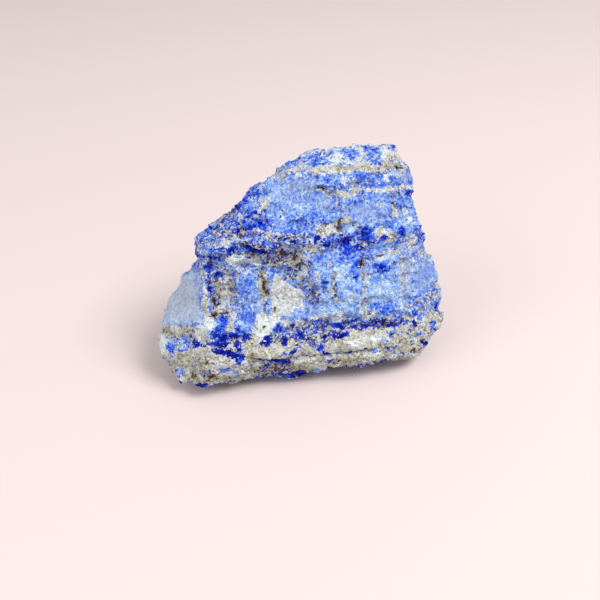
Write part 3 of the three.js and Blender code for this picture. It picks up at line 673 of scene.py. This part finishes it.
def relief(places, minerals, layout):
    """How far the surface stands out, in millimetres, at each place."""
    out = sum(chips(places, *each) for each in CHIPS)
    out += sum(terraces(places, *each, SEEDS["terraces"] + number) for number, each in enumerate(TERRACES))
    out += laminae(places)
    out *= 1 - VEIL_FILLS * minerals[:, VEIL]
    out += sum(proud * layout.patch(*form, rim=FORM_RIM) for *form, proud in FORMS)
    out += sum(proud * layout.plate(corners) for _, proud, corners in PLATES)
    out -= sum(depth * layout.groove(width, points) for width, depth, points in GROOVES)
    size, height = SUGAR
    matrix = 1 - minerals[:, BLUE]
    out += height * (SUGAR_IN_BLUE + matrix) * swell(places, size, SEEDS["sugar"], along=1)
    return out - PIT_DEPTH * smoothstep(minerals[:, DIRT_AND_SHADE], *PIT_DIRT)


# ---- the lump ----

MERGE_WITHIN = 0.01 * MM
FINE_LEVELS = 2


def copy_of_node(name):
    """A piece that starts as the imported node: its loose triangles are merged and finely divided."""
    bpy.ops.object.select_all(action="DESELECT")
    piece = bpy.data.objects.new("lapis_rock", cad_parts[name].data.copy())
    bpy.context.collection.objects.link(piece)
    piece.select_set(True)
    bpy.context.view_layer.objects.active = piece
    bpy.ops.object.mode_set(mode="EDIT")
    bpy.ops.mesh.select_all(action="SELECT")
    bpy.ops.mesh.remove_doubles(threshold=MERGE_WITHIN)
    bpy.ops.object.mode_set(mode="OBJECT")
    fine = piece.modifiers.new("fine surface", "SUBSURF")
    fine.levels = fine.render_levels = FINE_LEVELS
    bpy.ops.object.modifier_apply(modifier=fine.name)
    bpy.ops.object.shade_smooth()
    return piece


def lapis_rock():
    """The whole lump, with its minerals as attributes of its vertices."""
    piece = copy_of_node("lapis_lump")
    mesh = piece.data
    points = read(mesh.vertices, "co") / MM
    outward = read(mesh.vertex_normals, "vector")
    places = turned_to_face(points - np.array(FACE_FOOT))
    layout = Layout(places, turned_to_face(outward))
    minerals = np.zeros((len(points), len(MEASURES)))
    lay_beds(minerals, places, layout)
    lay_strays(minerals, places, 1 - layout.in_view)
    lay_patches(minerals, layout)
    drift(minerals, places)
    out = relief(places, minerals, layout)
    # More limonite grains where the relief is lowest: partly real limonite in the hollows, partly painted
    # shade.
    minerals[:, DIRT_AND_SHADE] += HOLLOW_LIMONITE_AND_SHADE * smoothstep(-out, *HOLLOW_DEPTH)
    for name, values in zip(MEASURES, np.clip(minerals, 0, 1).T):
        mesh.attributes.new(name, "FLOAT", "POINT").data.foreach_set("value", values.astype(np.float32))
    out *= smoothstep(points[:, 2], *FLAT_SPOT)
    points += out[:, None] * outward
    points = np.clip(points * MM, cad_low, cad_high)
    mesh.vertices.foreach_set("co", points.astype(np.float32).ravel())
    mesh.update()
    mesh.materials.clear()
    mesh.materials.append(rough_lapis())
    return piece


# ---- materials ----

# Sizes in millimetres of what the eye sees on the rock.
GRAIN = 0.6  # a grain of one mineral
CLUMP = 2.4  # a clump of like grains
CLUMP_STRETCH = 1.6  # how many times as long along the beds as across them a clump is
DUST = 0.35  # the crushed grains that break up the others; the same noise places the painted crevice shade
GRAIN_BEND, BENDS_TO_A_MM = 0.9, 1.1  # how far, and how often, the edges of the grains bend

# The colours of the minerals, from one end of the tone or the stain to the other.
LAZURITE = [
    (0, "#000E7C"), (0.2, "#1034CA"), (0.42, "#4E78E0"),
    (0.66, "#8AB0EC"), (0.85, "#B8D4F4"), (1, "#DCEAF4"),
]
MATRIX = [
    (0, "#E8F0F6"), (0.25, "#D2D8DA"), (0.45, "#CCCCBA"),
    (0.65, "#B6B19A"), (0.85, "#8A7E64"), (1, "#5A4734"),
]
LIMONITE = [(0.2, "#261A17"), (0.9, "#705843")]
ROCK_POWDER = "#BAC0CE"

STAIN_MOTTLE = 0.75  # how much the stain differs from grain to grain
POWDER_HIDES = 0.8  # how much of the minerals' colours a full veil of powder hides
SOFT_EDGE = 0.1  # how softly one mineral turns into another at a grain's edge
DUST_HEIGHT = 0.3  # millimetres
NOISE_RANGE = {"From Min": 0.3, "From Max": 0.7}  # where nearly all the values of a noise texture lie
PAINTED_CREVICE_SHADE = {"From Min": 0.3, "From Max": 0.5, "To Min": 0.6}  # painted shade in crevices: where the dust noise is low, only 0.6 of the colour comes through


def srgb(code):
    """A colour's linear values from its hex code."""
    parts = [int(code[i : i + 2], 16) / 255 for i in (1, 3, 5)]
    return (*(part / 12.92 if part <= 0.04045 else ((part + 0.055) / 1.055) ** 2.4 for part in parts), 1)


def add(tree, kind, inputs=(), stops=(), **settings):
    """Adds a node with its settings. Each input takes a value, or the output of another node."""
    node = tree.nodes.new("ShaderNode" + kind)
    for name, value in settings.items():
        setattr(node, name, value)
    for name, value in dict(inputs).items():
        if isinstance(value, bpy.types.NodeSocket):
            tree.links.new(value, node.inputs[name])
        else:
            node.inputs[name].default_value = value
    for number, (position, code) in enumerate(stops):
        while len(node.color_ramp.elements) <= number:
            node.color_ramp.elements.new(1)
        node.color_ramp.elements[number].position = position
        node.color_ramp.elements[number].color = srgb(code)
    return node


def rough_lapis():
    """Rough lapis lazuli, broken and not polished: matt grains of blue lazurite in calcite."""
    material = bpy.data.materials.new("rough lapis lazuli, lazurite grains in calcite")
    material.use_nodes = True
    tree = material.node_tree
    tree.nodes.clear()
    measure = {name: add(tree, "Attribute", attribute_name=name).outputs["Fac"] for name in MEASURES}

    place = add(tree, "TexCoord").outputs["Object"]
    turned = {"Vector": place, "Rotation": (FACE_LEAN, 0, 0), "Scale": (1 / MM, 1 / MM, 1 / MM)}
    millimetres = add(tree, "Mapping", turned).outputs[0]
    bend = add(tree, "TexNoise", {"Vector": millimetres, "Scale": BENDS_TO_A_MM, "Detail": 3})
    bent = {0: bend.outputs["Color"], 1: (GRAIN_BEND, GRAIN_BEND, GRAIN_BEND), 2: millimetres}
    grainy = add(tree, "VectorMath", bent, operation="MULTIPLY_ADD").outputs[0]
    grains = add(tree, "TexVoronoi", {"Vector": grainy, "Scale": 1 / GRAIN})
    flat = add(tree, "Mapping", {"Vector": grainy, "Scale": (1, 1, CLUMP_STRETCH)}).outputs[0]
    clumps = add(tree, "TexNoise", {"Vector": flat, "Scale": 1 / CLUMP, "Detail": 3, "Roughness": 0.6})
    dust = add(tree, "TexNoise", {"Vector": grainy, "Scale": 1 / DUST, "Detail": 1.5})
    grain = add(tree, "SeparateColor", {0: grains.outputs["Color"]}).outputs
    clump = add(tree, "SeparateColor", {0: clumps.outputs["Color"]}).outputs
    speck = add(tree, "SeparateColor", {0: dust.outputs["Color"]}).outputs

    def maths(operation, *values):
        return add(tree, "Math", dict(enumerate(values)), operation=operation).outputs[0]

    def blend(share, first, second, **settings):
        """Turns one colour into another by a share. They are inputs 6 and 7 of a Mix node, and output 2."""
        return add(tree, "Mix", {0: share, 6: first, 7: second}, data_type="RGBA", **settings).outputs[2]

    def luck(channel, dust_share):
        """A value from 0 to 1 for each grain, which its clump shares where grains gather."""
        spread = add(tree, "MapRange", {"Value": clump[channel], **NOISE_RANGE}).outputs[0]
        mixed = add(tree, "Mix", {0: measure["clump"], 2: grain[channel], 3: spread}).outputs[0]
        return maths("MULTIPLY_ADD", speck[channel], dust_share, maths("SUBTRACT", mixed, 0.5 * dust_share))

    def where(share, chance):
        """1 where a grain's luck is below the share, else 0."""
        edge = {"Value": maths("SUBTRACT", share, chance), "From Min": -SOFT_EDGE, "From Max": SOFT_EDGE}
        return add(tree, "MapRange", edge).outputs[0]

    def vary(base, amount, chance):
        """The base, moved by a grain's luck: by half the amount down at 0, and up at 1."""
        return maths("MULTIPLY_ADD", maths("SUBTRACT", chance, 0.5), amount, base)

    tone = vary(measure["tone"], measure["mottle"], luck("Green", dust_share=0.7))
    lazurite = add(tree, "ValToRGB", {0: tone}, stops=LAZURITE).outputs["Color"]
    stain = vary(measure["stain"], STAIN_MOTTLE, luck("Blue", dust_share=1.2))
    matrix = add(tree, "ValToRGB", {0: stain}, stops=MATRIX).outputs["Color"]
    limonite = add(tree, "ValToRGB", {0: luck("Green", dust_share=1.0)}, stops=LIMONITE).outputs["Color"]
    minerals = blend(where(measure["blue"], luck("Red", dust_share=0.5)), matrix, lazurite)
    # Limonite grains darken the colour; in the hollows they are partly painted shade.
    stained = blend(where(measure["dirt_and_shade"], luck("Blue", dust_share=0.6)), minerals, limonite)
    colour = blend(maths("MULTIPLY", measure["veil"], POWDER_HIDES), stained, srgb(ROCK_POWDER))
    # Painted shade: grains where the dust noise is low are darkened as if they lay in crevices.
    painted_crevice_shade = add(tree, "MapRange", {"Value": speck["Red"], **PAINTED_CREVICE_SHADE}).outputs[0]
    shaded = blend(1, colour, painted_crevice_shade, blend_type="MULTIPLY")

    outwards = {0: grainy, 1: grains.outputs["Position"]}
    from_middle = add(tree, "VectorMath", outwards, operation="SUBTRACT").outputs[0]
    centred = {0: grains.outputs["Color"], 1: (0.5, 0.5, 0.5)}
    lean = add(tree, "VectorMath", centred, operation="SUBTRACT").outputs[0]
    facet = add(tree, "VectorMath", {0: from_middle, 1: lean}, operation="DOT_PRODUCT").outputs["Value"]
    height = maths("MULTIPLY_ADD", speck["Red"], DUST_HEIGHT, facet)
    bump = add(tree, "Bump", {"Height": height, "Strength": 1, "Distance": MM})
    matt = {"Base Color": shaded, "Roughness": 0.7, "IOR": 1.5, "Specular IOR Level": 0.05}
    surface = add(tree, "BsdfPrincipled", {**matt, "Normal": bump.outputs[0]})
    add(tree, "OutputMaterial", {"Surface": surface.outputs[0]})
    return material


def plain(name, code, roughness):
    """A material of one colour."""
    material = bpy.data.materials.new(name)
    material.use_nodes = True
    surface = material.node_tree.nodes["Principled BSDF"]
    surface.inputs["Base Color"].default_value = srgb(code)
    surface.inputs["Roughness"].default_value = roughness
    return material


# ---- the room ----


def table():
    bpy.ops.object.select_all(action="DESELECT")
    bpy.ops.mesh.primitive_plane_add(size=TABLE_SIZE)
    plane = bpy.context.object
    plane.name = "table"
    plane.data.materials.append(plain("matt pale table", "#D2C2BE", 0.9))
    return plane


def soft_light(name, power, size, place):
    data = bpy.data.lights.new(name, "AREA")
    data.energy = power
    data.size = size
    lamp = bpy.data.objects.new(name, data)
    lamp.location = place
    lamp.rotation_euler = (Vector(place) - Vector(ROCK_MIDDLE)).to_track_quat("Z", "Y").to_euler()
    bpy.context.collection.objects.link(lamp)


def light_room():
    for name, window in WINDOWS.items():
        soft_light(name, *window)
    world = bpy.data.worlds.new("pale room")
    world.use_nodes = True
    background = world.node_tree.nodes["Background"]
    background.inputs["Color"].default_value = srgb("#F2F4F8")
    background.inputs["Strength"].default_value = ROOM_LIGHT
    bpy.context.scene.world = world


def camera():
    data = bpy.data.cameras.new("camera")
    data.lens = LENS
    data.sensor_width = SENSOR
    data.clip_start, data.clip_end = CLIP
    eye = bpy.data.objects.new("camera", data)
    eye.location = Vector(CAMERA_AT) * MM
    eye.rotation_euler = (radians(90 - CAMERA_LOOKS_DOWN), 0, radians(CAMERA_TURNED))
    bpy.context.collection.objects.link(eye)
    bpy.context.scene.camera = eye


rock = lapis_rock()
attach(rock, "root")
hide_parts("lapis_lump")
table()
light_room()
camera()
bpy.context.scene.view_settings.view_transform = "Standard"
